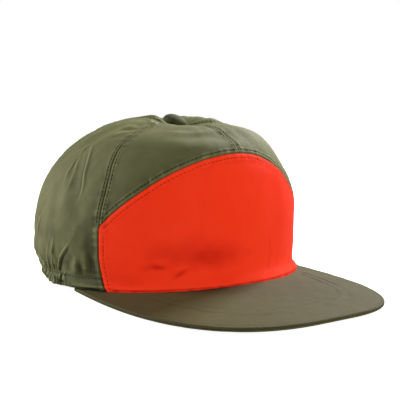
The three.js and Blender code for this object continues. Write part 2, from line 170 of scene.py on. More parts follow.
# Creases in the cloth: name, height in mm, width in mm, then the angle and level of each place.
CREASES = (
    ("ridge of the long side fold", 1.0, 1.2,
     (95.5, 0.823), (86, 0.657), (85, 0.553), (84.5, 0.40)),
    ("ridge of the near side fold", 0.9, 1.2,
     (89, 0.773), (74, 0.637), (72, 0.56), (69.5, 0.50), (71.5, 0.417)),
    ("line between the side folds", 0.5, 1.4, (92, 0.72), (82, 0.62), (79, 0.52), (79, 0.42)),
    ("swirl out of the casing", 1.1, 0.95,
     (85, 0.04), (82.5, 0.12), (79.5, 0.20), (74.5, 0.257), (70, 0.307)),
    ("soft top of the swirl", 0.35, 2.6, (70, 0.29), (69, 0.33), (70, 0.37)),
    ("upright thin ridge", 1.0, 0.95, (84.5, 0.32), (84, 0.243), (87, 0.137), (88, 0.03)),
    ("leaning thin ridge", 1.1, 0.95, (106, 0.25), (98, 0.177), (95, 0.09), (93, 0.04)),
    ("short thin ridge", 0.9, 0.9, (89, 0.18), (91, 0.083), (91, 0.03)),
    ("thin ridge at the casing", 0.9, 0.9, (77, 0.14), (78, 0.08), (78.5, 0.02)),
    ("wide ridge at the rear", 1.0, 1.5, (93, 0.08), (99, 0.16), (107, 0.22), (112, 0.31)),
    ("fold at the rear", 0.9, 1.3, (96.5, 0.40), (99, 0.35), (103, 0.29)),
    ("soft fold above the band", 0.8, 2.4, (68.5, 0.235), (69.5, 0.18), (71, 0.10)),
    ("soft fold by the seam", 0.7, 2.6, (64.5, 0.32), (64, 0.213), (64, 0.173), (66, 0.10)),
    ("hollow between them", -0.3, 2.2, (67, 0.21), (67.3, 0.16), (67.5, 0.10)),
    ("hollow under the swirl", -0.35, 2.4, (74, 0.22), (74.5, 0.16), (75, 0.10)),
    ("bunched cloth beside the button", 2.0, 4.6,
     (108, 0.945), (125, 0.95), (150, 0.95), (170, 0.945)),
    ("rim ahead of the button", 0.8, 3.2,
     (46, 0.793), (32, 0.78), (22.5, 0.787), (6.5, 0.80), (-13, 0.823)),
    ("fold down from the button", 0.8, 1.5, (98.5, 0.93), (72, 0.885), (60.5, 0.863), (48.5, 0.83)),
    ("soft fold beside the seam", 0.6, 1.8, (84, 0.80), (72, 0.81), (60, 0.807)),
    ("lower soft fold", 0.6, 2.0, (76, 0.745), (68, 0.765), (62, 0.79)),
    ("kink high at the side", 0.7, 2.0, (112, 0.80), (109, 0.70), (112, 0.62)),
    ("crumple low in the front", -0.25, 2.2, (38, 0.19), (34, 0.165), (30, 0.16)),
    ("crumple at the joint", -0.3, 2.0, (32, 0.08), (28, 0.10), (24.5, 0.14), (20, 0.165)),
    ("faint upright fold", -0.2, 2.0, (-16, 0.34), (-17, 0.18), (-13, 0.04)),
    ("second upright fold", -0.15, 1.8, (-24, 0.28), (-21, 0.13), (-19, 0.02)),
    ("far ridge", 0.9, 1.6, (-88, 0.78), (-80, 0.62), (-82, 0.45)),
    ("far swirl", 1.0, 1.2, (-85, 0.05), (-80, 0.15), (-77, 0.26), (-70, 0.31)),
    ("far second ridge", 0.9, 1.1, (-92, 0.06), (-97, 0.18), (-104, 0.27)),
    ("far third ridge", 0.8, 1.3, (-78, 0.74), (-70, 0.60), (-69, 0.46)),
    ("right back ridge", 0.9, 1.8, (150, 0.74), (143, 0.56), (141, 0.40)),
    ("left back ridge", 0.9, 1.8, (-140, 0.74), (-150, 0.56), (-154, 0.38)),
    ("middle back ridge", 0.7, 1.6, (168, 0.64), (163, 0.50), (166, 0.34)),
    ("low back ridge", 0.8, 1.4, (128, 0.42), (133, 0.28), (131, 0.16)),
    ("low left back ridge", 0.8, 1.4, (-124, 0.46), (-129, 0.30), (-126, 0.17)),
)

# Dents with soft edges: name, middle (angle and level), half width, half height and depth in mm.
DENTS = (
    ("broad dent in the front", 15, 0.21, 22, 13, 1.3),
    ("shallow dent beside it", 32, 0.24, 14, 11, 0.55),
    ("dent low in the front", 36, 0.165, 9, 4, 0.45),
    ("dent at the joint", 27, 0.125, 6, 4, 0.4),
    ("low corner", 46, 0.08, 12, 10, 0.5),
    ("low edge", -5, 0.03, 30, 4, 0.6),
    ("hollow beside the seam", 62, 0.24, 5, 20, 1.2),
    ("hollow above the band", 67, 0.12, 7, 8, 0.8),
)


def column(name):
    """A smooth curve through one column of the sections."""
    levels = np.array(SECTIONS["level"])
    shares = np.array(SECTIONS[name])
    secant = np.diff(shares) / np.diff(levels)
    slope = np.concatenate((secant[:1], (secant[1:] + secant[:-1]) / 2, secant[-1:]))

    def at(level):
        level = np.clip(level, 0, 1)
        k = np.clip(np.searchsorted(levels, level, side="right") - 1, 0, len(levels) - 2)
        span = levels[k + 1] - levels[k]
        p = (level - levels[k]) / span
        start = shares[k] * (1 + 2 * p) * (1 - p) ** 2 + slope[k] * span * p * (1 - p) ** 2
        end = shares[k + 1] * p * p * (3 - 2 * p) + slope[k + 1] * span * p * p * (p - 1)
        return start + end

    return at


rise_front_at = column("rise_front")
rise_back_at = column("rise_back")
front_at = column("front")
back_at = column("back")
side_at = column("side")


def smoothstep(value, low, high):
    """From 0 at low to 1 at high, with soft ends."""
    share = np.clip((value - low) / (high - low), 0, 1)
    return share * share * (3 - 2 * share)


def heading(angle):
    """The same angle between -180 and 180; 0 is the front, plus is the wearer's right."""
    return np.mod(angle + 180, 360) - 180


def rise_at(angle, level):
    """Height above the hem, as a share of the crown's height."""
    backward = (1 - np.cos(np.radians(angle))) / 2
    return rise_front_at(level) * (1 - backward) + rise_back_at(level) * backward


def oval_at(angle, level):
    """The crown's half length and half width at a level."""
    ahead = np.cos(np.radians(angle)) > 0
    lengthways = np.where(ahead, FRONT_DEPTH * front_at(level), BACK_DEPTH * back_at(level))
    return lengthways, HALF_WIDTH * side_at(level)


def oval_radius(angle, level):
    """Distance of the crown from its middle, for measuring along the cloth."""
    lengthways, sideways = oval_at(angle, level)
    turn = np.radians(angle)
    return np.hypot(lengthways * np.cos(turn), sideways * np.sin(turn))


def bill_underside(sideways, angle, from_joint):
    """Height of the bill's lower face: bowed across, and lifted at the joint's middle."""
    bow = BILL_ARCH * np.maximum(0, 1 - (sideways / BILL_HALF_WIDTH) ** 2)
    turn = np.minimum(1, np.abs(heading(angle)) / BILL_CORNER_ANGLE)
    lift = JOINT_LIFT * np.maximum(0, np.cos(turn * np.pi / 2)) ** 1.5
    return bow + lift * np.maximum(0, 1 - from_joint) ** 1.5


def crown_base(angle):
    """Height of the crown's lower edge: on the bill in front, down on the table behind."""
    sideways = oval_at(angle, 0)[1] * np.sin(np.radians(angle))
    on_bill = bill_underside(sideways, angle, 0) + BILL_THICKNESS + SEAM_GAP
    drop_start = BILL_CORNER_ANGLE + HEM_DROP_DELAY
    return on_bill * (1 - smoothstep(np.abs(heading(angle)), drop_start, drop_start + HEM_DROP_SPAN))


def elastic_draw(angle, level):
    """How far the elastic draws the crown in above its lower edge."""
    turn = np.abs(heading(angle))
    around = smoothstep(turn, CASING_START_ANGLE, CASING_START_ANGLE + ELASTIC_DRAW_SPAN)
    up = np.maximum(0, 1 - rise_at(angle, level) * CROWN_HEIGHT / ELASTIC_DRAW_HEIGHT)
    return ELASTIC_DRAW * around * up ** 1.5


def seam_sweep(angle, level):
    """The seams bow on their way up: those at the sides to the back, the front one to the left."""
    turn = heading(angle)
    outward = np.maximum(0, np.sin(np.pi * np.abs(turn) / (2 * FRONT_SEAM_ANGLE)))
    high = smoothstep(level, 0.46, 0.72) * (1 - smoothstep(level, 0.80, 0.98))
    sideways = np.sign(turn) * SIDE_SEAM_SWEEP_ANGLE * outward
    lean = FRONT_SEAM_LEAN_ANGLE * np.exp(-((turn / FRONT_SEAM_LEAN_SPAN_ANGLE) ** 2))
    return np.where(np.abs(turn) < 2 * FRONT_SEAM_ANGLE, (sideways - lean) * high, 0)


def smooth_crown(angle, level):
    """Places on the crown without its folds."""
    angle = angle + seam_sweep(angle, level)
    lengthways, sideways = oval_at(angle, level)
    draw = elastic_draw(angle, level)
    turn = np.radians(angle)
    x = -(sideways - draw) * np.sin(turn)
    from_middle = -(lengthways - draw) * np.cos(turn)
    in_dimple = np.maximum(0, 1 - (np.hypot(x, from_middle) / DIMPLE_RADIUS) ** 2) ** 2
    base = crown_base(angle)
    z = base + rise_at(angle, level) * (CROWN_HEIGHT - base) - DIMPLE_DEPTH * in_dimple
    return np.stack((x, from_middle - APEX_FORWARD * level ** 4, z), axis=-1)


def crown_normal(angle, level):
    above = smooth_crown(angle, np.minimum(1, level + 0.004))
    along = above - smooth_crown(angle, np.maximum(0, level - 0.004))
    across = smooth_crown(angle + 0.5, level) - smooth_crown(angle - 0.5, level)
    normal = np.cross(along, across)
    return normal / np.maximum(1e-9, np.linalg.norm(normal, axis=-1, keepdims=True))


def height_at(angle, level):
    return smooth_crown(angle, level)[..., 2]


def level_at_height(angle, height):
    """The level where the crown reaches a height, found by halving."""
    low = np.zeros_like(angle, dtype=float)
    high = np.full_like(low, 0.9)
    for _ in range(40):
        middle = (low + high) / 2
        under = height_at(angle, middle) < height
        low = np.where(under, middle, low)
        high = np.where(under, high, middle)
    return (low + high) / 2


ARCH_PEAK = float(level_at_height(np.array([0.0]), ARCH_PEAK_HEIGHT)[0])
ARCH_CORNER = float(level_at_height(np.array([FRONT_SEAM_ANGLE]), ARCH_CORNER_HEIGHT)[0])


def arch_level(angle):
    return ARCH_PEAK - (ARCH_PEAK - ARCH_CORNER) * (np.abs(angle) / FRONT_SEAM_ANGLE) ** 2


def hem_level(angle):
    return level_at_height(angle, crown_base(angle) + HEM_HEIGHT)


def soft_noise(x, y, seed):
    """Smooth noise between -1 and 1 over a plane, one cell to a unit."""
    lattice = np.random.default_rng(seed).uniform(-1, 1, (NOISE_CELLS, NOISE_CELLS))
    i = np.floor(x).astype(int)
    j = np.floor(y).astype(int)
    u = smoothstep(x - i, 0, 1)
    v = smoothstep(y - j, 0, 1)

    def corner(right, up):
        return lattice[(i + right) % NOISE_CELLS, (j + up) % NOISE_CELLS]

    low = corner(0, 0) * (1 - u) + corner(1, 0) * u
    high = corner(0, 1) * (1 - u) + corner(1, 1) * u
    return low * (1 - v) + high * v


def to_line(angle, level, points):
    """Signed distance over the cloth to a line of places, and the share of the way along it."""
    scale = np.radians(oval_radius(angle, level))
    x = heading(angle) * scale
    y = level * CLOTH_LENGTH
    best = np.full(np.shape(angle), 1e9)
    signed = np.zeros(np.shape(angle))
    share = np.zeros(np.shape(angle))
    legs = len(points) - 1
    for leg in range(legs):
        ax, ay = points[leg][0] * scale, points[leg][1] * CLOTH_LENGTH
        bx, by = points[leg + 1][0] * scale, points[leg + 1][1] * CLOTH_LENGTH
        rx, ry = bx - ax, by - ay
        run = np.maximum(1e-6, rx * rx + ry * ry)
        t = np.clip(((x - ax) * rx + (y - ay) * ry) / run, 0, 1)
        away = np.hypot(x - ax - t * rx, y - ay - t * ry)
        side = np.sign(rx * (y - ay) - ry * (x - ax))
        nearer = away < best
        best = np.where(nearer, away, best)
        signed = np.where(nearer, away * side, signed)
        share = np.where(nearer, (leg + t) / legs, share)
    return signed, share


def rounded(points):
    """The same path with its corners cut twice."""
    path = np.array(points, dtype=float)
    for _ in range(2 * (len(path) > 2)):
        near = 0.75 * path[:-1] + 0.25 * path[1:]
        far = 0.25 * path[:-1] + 0.75 * path[1:]
        cut = np.stack((near, far), axis=1).reshape(-1, 2)
        path = np.concatenate((path[:1], cut[1:-1], path[-1:]))
    return path


def broad_relief(angle, level):
    """The broad folds that the solids have too."""
    relief = 0
    for _, start, start_level, end, end_level, width, depth in BROAD_FOLDS:
        path = ((start, start_level), (end, end_level))
        away = to_line(angle, level, path)[0] / (FOLD_WIDTH * width)
        relief = relief + FOLD_DEPTH * depth * np.exp(-away * away)
    return relief


def dent_relief(angle, level):
    """Soft oval dents."""
    relief = 0
    for _, around, up, half_width, half_height, depth in DENTS:
        x = np.radians(heading(angle - around)) * oval_radius(angle, level) / half_width
        y = (level - up) * CLOTH_LENGTH / half_height
        relief = relief - depth * np.exp(-x * x - y * y)
    return relief


def crease_relief(angle, level):
    """A ridge with a sharper valley on one side, that fades out at both ends."""
    relief = np.zeros(np.shape(angle))
    turn = heading(angle)
    for _, height, width, *points in CREASES:
        path = rounded(points)
        low, high = path.min(axis=0), path.max(axis=0)
        reach = 6 * width / CLOTH_LENGTH
        near = (turn > low[0] - 12 * width) & (turn < high[0] + 12 * width)
        near &= (level > low[1] - reach) & (level < high[1] + reach)
        if not near.any():
            continue
        away, share = to_line(angle[near], level[near], path)
        fade = smoothstep(share, -0.02, 0.3) * (1 - smoothstep(share, 0.7, 1.02))
        ridge = np.exp(-(away / width) ** 2)
        valley = np.exp(-((away - 1.9 * width) / (1.1 * width)) ** 2)
        relief[near] += height * fade * (ridge - 0.24 * valley)
    return relief


# Gathers: each runs up from the elastic, some a long way, and leans a little.
rng = np.random.default_rng(20)
gather_angles = np.arange(GATHER_START_ANGLE, 361 - GATHER_START_ANGLE, GATHER_PITCH_ANGLE)
gather_count = len(gather_angles)
gather_angles = gather_angles + rng.uniform(-0.55, 0.55, gather_count)
gather_heights = rng.uniform(0.7, 1.7, gather_count)
gather_reaches = 10 + 32 * rng.uniform(0, 1, gather_count) ** 2.4
gather_leans = rng.uniform(-30, 30, gather_count)


def gather_relief(angle, level, rise):
    """Thin ridges above the casing, and the cloth drawn in between them."""
    around = np.mod(angle, 360)
    relief = 0
    for start, height, reach, lean in zip(gather_angles, gather_heights, gather_reaches, gather_leans):
        strength = min(1, max(0.1, (min(start, 360 - start) - GATHER_START_ANGLE) / 9))
        center = start + lean * (level - 0.05) * (level > 0.05)
        width = 0.52 + 0.02 * rise
        away = (around - center) / width
        fade = np.maximum(0, 1 - rise / reach) ** 1.3
        relief = relief + strength * height * fade * np.exp(-away * away)
    return relief - 0.7 * smoothstep(np.abs(heading(angle)), 76, 88) * np.maximum(0, 1 - rise / 14)


def pucker(along, away, seed):
    """Short ripples that a seam's stitches draw in the cloth beside it."""
    ripple = soft_noise(along / 2.3, away * 0 + 3, seed) + 0.7 * soft_noise(along / 6.0, away / 9, seed + 1)
    return 0.26 * ripple * np.exp(-((away - 2.6) / 2.4) ** 2)


def seam_profile(away, along, seed, rows=SEAM_ROW, stitched=1.0):
    """Height beside a seam: a sharp valley, a pressed allowance and dips at the stitch rows."""
    valley = -0.3 * np.exp(-(away / 0.42) ** 2)
    allowance = 0.3 * smoothstep(away, 0.2, 0.9) * (1 - smoothstep(away, rows + 0.5, rows + 2.4))
    beat = 0.72 + 0.28 * np.cos(2 * np.pi * along / STITCH_PITCH)
    row = -0.34 * stitched * beat * np.exp(-((away - rows) / 0.5) ** 2)
    soft = -0.3 * np.exp(-(away / 6.0) ** 2)
    return valley + allowance + row + soft + pucker(along, away, seed)


def arch_stretch(angle, radius):
    """Upright distance for each millimetre straight away from the arched seam."""
    slope = -2 * (ARCH_PEAK - ARCH_CORNER) * np.abs(angle) / FRONT_SEAM_ANGLE ** 2
    steep = CLOTH_LENGTH * slope / np.radians(radius)
    return np.sqrt(1 + steep * steep)


def arch_away(angle, level):
    """Signed distance over the cloth to the arched seam, plus above it."""
    radius = np.maximum(5, oval_radius(angle, level))
    return (level - arch_level(angle)) * CLOTH_LENGTH / arch_stretch(angle, radius)


def seam_relief(angle, level):
    """All seams: those at the sides and the back, the centre front seam and the arch."""
    turn = heading(angle)
    radius = oval_radius(angle, level)
    along = level * CLOTH_LENGTH
    fade_top = 1 - smoothstep(level, 0.93, 1.0)
    behind = np.abs(turn) > FRONT_SEAM_ANGLE
    relief = 0
    for index, seam in enumerate(LONG_SEAMS):
        away = np.abs(np.radians(heading(turn - seam))) * radius
        in_front = abs(seam) == FRONT_SEAM_ANGLE
        below = in_front * (1 - smoothstep(level, ARCH_CORNER - 0.03, ARCH_CORNER + 0.02))
        rows = np.where(behind, SEAM_ROW, SEAM_ROW + (ARCH_ROW_BELOW - SEAM_ROW) * below)
        stitched = np.where(behind, 1 - below, 1)
        relief = relief + fade_top * seam_profile(away, along, 40 + 3 * index, rows, stitched)
    away = np.abs(np.radians(turn)) * radius
    above = smoothstep(level, ARCH_PEAK - 0.004, ARCH_PEAK + 0.004)
    raised = 0.42 * np.exp(-(away / 0.5) ** 2) + 0.2 * np.exp(-(away / 6) ** 2)
    relief = relief + above * fade_top * (seam_profile(away, along, 71) + raised)
    signed = arch_away(turn, level)
    rows = np.where(signed > 0, ARCH_ROW_ABOVE, ARCH_ROW_BELOW)
    arch = seam_profile(np.abs(signed), np.radians(turn) * radius, 83, rows)
    return relief + np.where(np.abs(turn) < FRONT_SEAM_ANGLE, arch, 0)


def top_wrinkles(angle, level):
    """Cloth drawn together round the button."""
    around = np.radians(heading(angle))
    ring = soft_noise(5 + 2.1 * around, level * 9, 91) + 0.8 * soft_noise(9 + 4.3 * around, level * 14, 92)
    near = smoothstep(level, 0.74, 0.88) * (1 - smoothstep(level, 0.93, 0.99))
    return 0.8 * ring * near


def crumple(angle, level):
    """Small uneven crumples, most on the olive cloth at the sides."""
    turn = heading(angle)
    x = np.radians(turn) * CRUMPLE_RADIUS
    y = level * CLOTH_LENGTH
    olive = 1 - (np.abs(turn) < FRONT_SEAM_ANGLE) * (level < arch_level(turn))
    broad = soft_noise(x / 26 + 7, y / 34 + 3, 11)
    middle = soft_noise(x / 11 + 0.35 * y / 11, y / 17, 12)
    fine = soft_noise(x / 5 + 1, y / 7 + 2, 13)
    low = 1 - smoothstep(level, 0.2, 0.6)
    side = smoothstep(np.abs(turn), 55, 80)
    amount = olive * (0.30 + 0.45 * side * (0.6 + low)) + (1 - olive) * 0.16
    return amount * (0.75 * broad + 0.7 * middle + 0.28 * fine) * (1 - smoothstep(level, 0.9, 1))


def joint_flare(angle, level):
    """The front's lower edge: rolled out at the far end and tucked in at the bill."""
    turn = heading(angle)
    ahead = 1 - smoothstep(np.abs(turn), 66, 76)
    up = level * CLOTH_LENGTH
    roll = 1.6 * smoothstep(-turn, 34, 50) * np.exp(-((up - 3.0) / 4.0) ** 2)
    ripple = soft_noise(np.radians(turn) * FRONT_DEPTH / 4.2, np.zeros_like(up), 101)
    tucked = 1.3 * np.exp(-(up / 2.3) ** 2)
    groove = 0.8 * np.exp(-((up - 2.9) / 1.0) ** 2)
    return ahead * (roll + 0.3 * ripple * np.exp(-(up / 5) ** 2) - groove - tucked)


def fine_relief(angle, level):
    """Everything finer than the broad folds, in millimetres off the crown."""
    rise = rise_at(angle, level) * CROWN_HEIGHT
    relief = crease_relief(angle, level) + gather_relief(angle, level, rise)
    relief = relief + dent_relief(angle, level)
    relief = relief + seam_relief(angle, level) + top_wrinkles(angle, level)
    return relief + crumple(angle, level) + joint_flare(angle, level)


def crown_cloth(angle, level, proud, fine=1.0):
    """Places on the folded crown, moved off the cloth, and the fine relief there."""
    relief = fine_relief(angle, level)
    point = smooth_crown(angle, level)
    lift = broad_relief(angle, level) + fine * relief + proud
    point = point + crown_normal(angle, level) * lift[..., None]
    point[..., 2] = np.maximum(point[..., 2], 0.05)
    return point, relief


def cap_place(points):
    """From the middle of the head oval, in millimetres, to the cap's frame in metres."""
    moved = np.array(points, dtype=float)
    moved[..., 1] += CAP_FORWARD
    return moved * MM


def sheet_grid(columns, rows):
    """A flat grid whose vertices keep their share across and up as layers."""
    bm = bmesh.new()
    bmesh.ops.create_grid(bm, x_segments=columns, y_segments=rows, size=0.5)
    across = bm.verts.layers.float.new("across")
    up = bm.verts.layers.float.new("up")
    for vert in bm.verts:
        vert[across] = vert.co.x + 0.5
        vert[up] = vert.co.y + 0.5
    return bm


def shares_of(verts, bm):
    layers = [bm.verts.layers.float[key] for key in ("across", "up")]
    return [np.array([vert[layer] for vert in verts]) for layer in layers]


def place_verts(verts, points):
    for vert, point in zip(verts, points.tolist()):
        vert.co = point


def sewn_wall(name, columns, rows, outer, inner):
    """A closed cloth wall. Its outer and inner sides come from functions of the shares."""
    bm = sheet_grid(columns, rows)
    # The crest layer carries the painted highlights and painted shade of the cloth tone.
    layers = [bm.verts.layers.float.new(key) for key in ("crest", "cloth_x", "cloth_y")]
    sheet = list(bm.verts)
    made = bmesh.ops.extrude_face_region(bm, geom=list(bm.faces), use_keep_orig=True)
    lining = [item for item in made["geom"] if isinstance(item, bmesh.types.BMVert)]
    for verts, side in ((sheet, outer), (lining, inner)):
        across, up = shares_of(verts, bm)
        points, relief, cloth = side(across, up)
        place_verts(verts, cap_place(points))
        crest = crest_of(relief, across, up, columns, rows)
        for layer, values in zip(layers, (crest, *cloth)):
            for vert, value in zip(verts, values.tolist()):
                vert[layer] = value
    bmesh.ops.recalc_face_normals(bm, faces=list(bm.faces))
    return finish_piece(name, bm)


def crest_of(relief, across, up, columns, rows, reach=4):
    """How far each place stands above the cloth around it, in millimetres, with a share of its depth added
    where it lies low; it sets the painted highlights and painted shade of the cloth tone.
    """
    order = np.lexsort((across, np.round(up * rows)))
    grid = relief[order].reshape(rows + 1, columns + 1)
    blurred = grid
    for axis in (0, 1):
        padding = [(reach, reach) if axis == k else (0, 0) for k in (0, 1)]
        padded = np.pad(blurred, padding, mode="edge")
        span = grid.shape[axis]
        shifted = [np.take(padded, range(k, k + span), axis=axis) for k in range(2 * reach + 1)]
        blurred = sum(shifted) / len(shifted)
    crest = np.empty(len(relief))
    crest[order] = (grid - blurred + SUNK_SHARE * np.minimum(0, grid)).ravel()
    return crest


def finish_piece(name, bm):
    mesh = bpy.data.meshes.new(name)
    bm.to_mesh(mesh)
    bm.free()
    return add_piece(name, mesh)


def add_piece(name, mesh):
    """Put a mesh in the scene with its faces outwards."""
    if volume_of(mesh) < 0:
        mesh.flip_normals()
    mesh.shade_smooth()
    piece = bpy.data.objects.new(name, mesh)
    bpy.context.scene.collection.objects.link(piece)
    if "cloth_x" in mesh.attributes:
        add_cloth_map(mesh)
    return piece


def volume_of(mesh):
    """Six times the volume, negative where the faces look inwards."""
    mesh.calc_loop_triangles()
    points = np.empty(len(mesh.vertices) * 3)
    mesh.vertices.foreach_get("co", points)
    points = points.reshape(-1, 3)
    corners = np.empty(len(mesh.loop_triangles) * 3, dtype=np.int32)
    mesh.loop_triangles.foreach_get("vertices", corners)
    a, b, c = (points[corners.reshape(-1, 3)[:, i]] for i in range(3))
    return float((a * np.cross(b, c)).sum())


def add_cloth_map(mesh):
    """The cloth's own millimetres as a UV map, for the weave."""
    count = len(mesh.vertices)
    flat = np.empty((count, 2))
    for axis, key in enumerate(("cloth_x", "cloth_y")):
        values = np.empty(count, dtype=np.float32)
        mesh.attributes[key].data.foreach_get("value", values)
        flat[:, axis] = values
    corners = np.empty(len(mesh.loops), dtype=np.int32)
    mesh.loops.foreach_get("vertex_index", corners)
    layer = mesh.uv_layers.new(name="cloth")
    layer.data.foreach_set("uv", flat[corners].ravel())


def crown_panel(name, first, last, columns, rows, level_of, proud=0.0, thickness=CLOTH, rim=0.0):
    """A panel of the crown between two angles, as a wall; a rim rounds its lower edge."""
    middle = (first + last) / 2

    def side(inward):
        def build(across, up):
            angle = first + (last - first) * across
            level = level_of(angle, up)
            gap = np.degrees(SEAM_EDGE / np.maximum(2, oval_radius(angle, level)))
            at_edge = (across < 1e-4) | (across > 0.9999)
            angle = angle + np.sign(middle - angle) * gap * at_edge
            offset = proud - inward * thickness
            if rim:
                offset = hem_offset(angle, level, proud, 1 - inward) - inward * thickness
                risen = np.clip(height_over_edge(angle, level) / rim, 0, 1)
                tuck = thickness / 2 * (1 - np.sqrt(1 - (1 - risen) ** 2))
                offset = offset - (1 - 2 * inward) * tuck * 0.95
            points, relief = crown_cloth(angle, level, offset, LINING_RELIEF if inward else 1.0)
            cloth_x = np.radians(heading(angle - middle)) * oval_radius(angle, level)
            return points, relief, (cloth_x, level * CLOTH_LENGTH)

        return build

    return sewn_wall(name, columns, rows, side(0), side(1))


def hem_offset(angle, level, proud, ruffled):
    """How far the hem stands off the crown: full below, nothing at its row of stitches."""
    share_up = np.clip(height_over_edge(angle, level) / HEM_HEIGHT, 0, 1)
    drawn_in = (proud - SEAM_EDGE) * smoothstep(share_up, 0.55, 0.95)
    return proud - drawn_in + ruffled * casing_ruffle(angle, share_up)


def casing_ruffle(angle, share_up):
    """Tight ruffles of the casing between its row of stitches and its lower edge."""
    gathered = smoothstep(np.abs(heading(angle)), CASING_START_ANGLE - 5, CASING_START_ANGLE - 1)
    belly = np.sin(np.pi * np.clip(share_up / 0.85, 0, 1)) ** 0.7
    around = np.mod(angle, 360)
    wander = 0.4 * soft_noise(around / 3.1, share_up * 0.8 + 4, 55)
    ridges = 1 - np.abs(np.sin(np.pi * (around / RUFFLE_PITCH_ANGLE + wander)))
    uneven = 0.8 + 0.5 * soft_noise(around / 2.3, share_up + 9, 56)
    return gathered * belly * (1.15 * ridges * uneven - 0.5)


def height_over_edge(angle, level):
    """Height above the crown's own lower edge."""
    return height_at(angle, level) - crown_base(angle)


def front_panel():
    """The bright cloth from the bill to the arched seam."""
    def level_of(angle, up):
        return (arch_level(angle) - SEAM_EDGE / CLOTH_LENGTH) * up

    return crown_panel("front_cloth", -FRONT_SEAM_ANGLE, FRONT_SEAM_ANGLE, 210, 92, level_of)


def front_gore(hand, side):
    """A gore from the arched seam to the button."""
    def level_of(angle, up):
        bottom = arch_level(angle) + SEAM_EDGE / CLOTH_LENGTH
        return bottom + (TIP_SHARE - bottom) * up

    return crown_panel(f"front_gore_cloth_{hand}", 0, side * FRONT_SEAM_ANGLE, 150, 116, level_of)


def full_gore(name, first, last):
    """A gore from the hem to the button."""
    def level_of(angle, up):
        bottom = hem_level(angle) + HEM_EDGE / CLOTH_LENGTH
        return bottom + (TIP_SHARE - bottom) * up

    return crown_panel(name, first, last, 180, 156, level_of)


def hem_stretch(name, first, last, columns, proud):
    """A stretch of the folded hem, with close rows of vertices at its lower edge."""
    def level_of(angle, up):
        return hem_level(angle) * (1 - np.cos(up * np.pi / 2))

    return crown_panel(name, first, last, columns, 16, level_of, proud, HEM_THICKNESS, HEM_RIM)


# The bill: places across it are shares from -1 to 1.

def bill_edge(share):
    """The bill's outline, squarer than an ellipse."""
    turn = np.radians(90 * share)
    corner = FRONT_DEPTH * math.cos(math.radians(BILL_CORNER_ANGLE))
    reach = FRONT_DEPTH + BILL_LENGTH - corner
    bend = 2 / BILL_SQUARENESS
    x = -BILL_HALF_WIDTH * np.sign(np.sin(turn)) * np.abs(np.sin(turn)) ** bend
    y = -corner - reach * np.maximum(0, np.cos(turn)) ** bend
    return x, y


def bill_joint(share):
    """The bill's inner edge, tucked under the crown."""
    turn = np.radians(BILL_CORNER_ANGLE * share)
    lengthways, sideways = oval_at(np.zeros(1), np.zeros(1))
    return -(sideways[0] - BILL_TUCK) * np.sin(turn), -(lengthways[0] - BILL_TUCK) * np.cos(turn)


def bill_place(share, from_joint):
    """A place on the bill's plan and its underside there."""
    jx, jy = bill_joint(share)
    ex, ey = bill_edge(share)
    width = np.hypot(ex - jx, ey - jy)
    x = jx + (ex - jx) * from_joint
    y = jy + (ey - jy) * from_joint
    tuck = np.minimum(0.9, BILL_TUCK / np.maximum(1, width))
    freed = np.maximum(0, from_joint - tuck) / (1 - tuck)
    return x, y, bill_underside(x, BILL_CORNER_ANGLE * share, freed)


def bill_outline_distance(x, y):
    """Distance of places on the bill from its outline."""
    share = np.linspace(-1, 1, 361)
    ex, ey = bill_edge(share)
    best = np.full(np.shape(x), 1e9)
    for k in range(len(share) - 1):
        rx, ry = ex[k + 1] - ex[k], ey[k + 1] - ey[k]
        t = np.clip(((x - ex[k]) * rx + (y - ey[k]) * ry) / (rx * rx + ry * ry + 1e-9), 0, 1)
        best = np.minimum(best, np.hypot(x - ex[k] - t * rx, y - ey[k] - t * ry))
    return best


def bill_top_relief(x, y, away):
    """Sunk stitch rows, a faint swell between them and the cloth pulled over the edge."""
    relief = 0.05 * np.exp(-((away - 23) / 3.0) ** 2) - 0.18 * np.exp(-((away - 2.4) / 0.9) ** 2)
    for row in BILL_ROWS:
        relief = relief - 0.2 * np.exp(-((away - row) / 0.4) ** 2)
    return relief + 0.10 * soft_noise(x / 9, y / 9, 5) + 0.05 * soft_noise(x / 3.4, y / 3.4, 6)


def bill_under_relief(x, y, away):
    """The same stitch rows from below."""
    relief = 0.06 * soft_noise(x / 6, y / 6, 8)
    for row in BILL_ROWS:
        relief = relief - 0.2 * np.exp(-((away - row) / 0.5) ** 2)
    return relief


def bill_cover(name, low, thickness, on_top):
    """The bill's upper or lower cloth, with its outline rounded."""

    def side(inward):
        def build(across, up):
            x, y, under = bill_place(2 * across - 1, np.sin(up * np.pi / 2) ** 0.85)
            away = bill_outline_distance(x, y)
            near = np.clip(away / BILL_ROUNDING, 0, 1)
            drop = BILL_ROUNDING * (1 - np.sqrt(np.maximum(0, 1 - (1 - near) ** 2)))
            relief = bill_top_relief(x, y, away) if on_top else bill_under_relief(x, y, away)
            if inward:
                offset = 0 if on_top else drop * 0.9 - np.minimum(0, relief)
            else:
                offset = thickness - drop + relief if on_top else thickness
            return np.stack((x, y, under + low + offset), axis=-1), relief, (x, y)

        return build

    return sewn_wall(name, 196, 62, side(0), side(1))


# The button on top

def tilt_turn():
    """The axis and angle of the button's lean."""
    toward = math.radians(BUTTON_TILT_TOWARD)
    ahead = Vector((-math.sin(toward), -math.cos(toward), 0))
    return Vector((0, 0, 1)).cross(ahead).normalized(), math.radians(BUTTON_TILT)


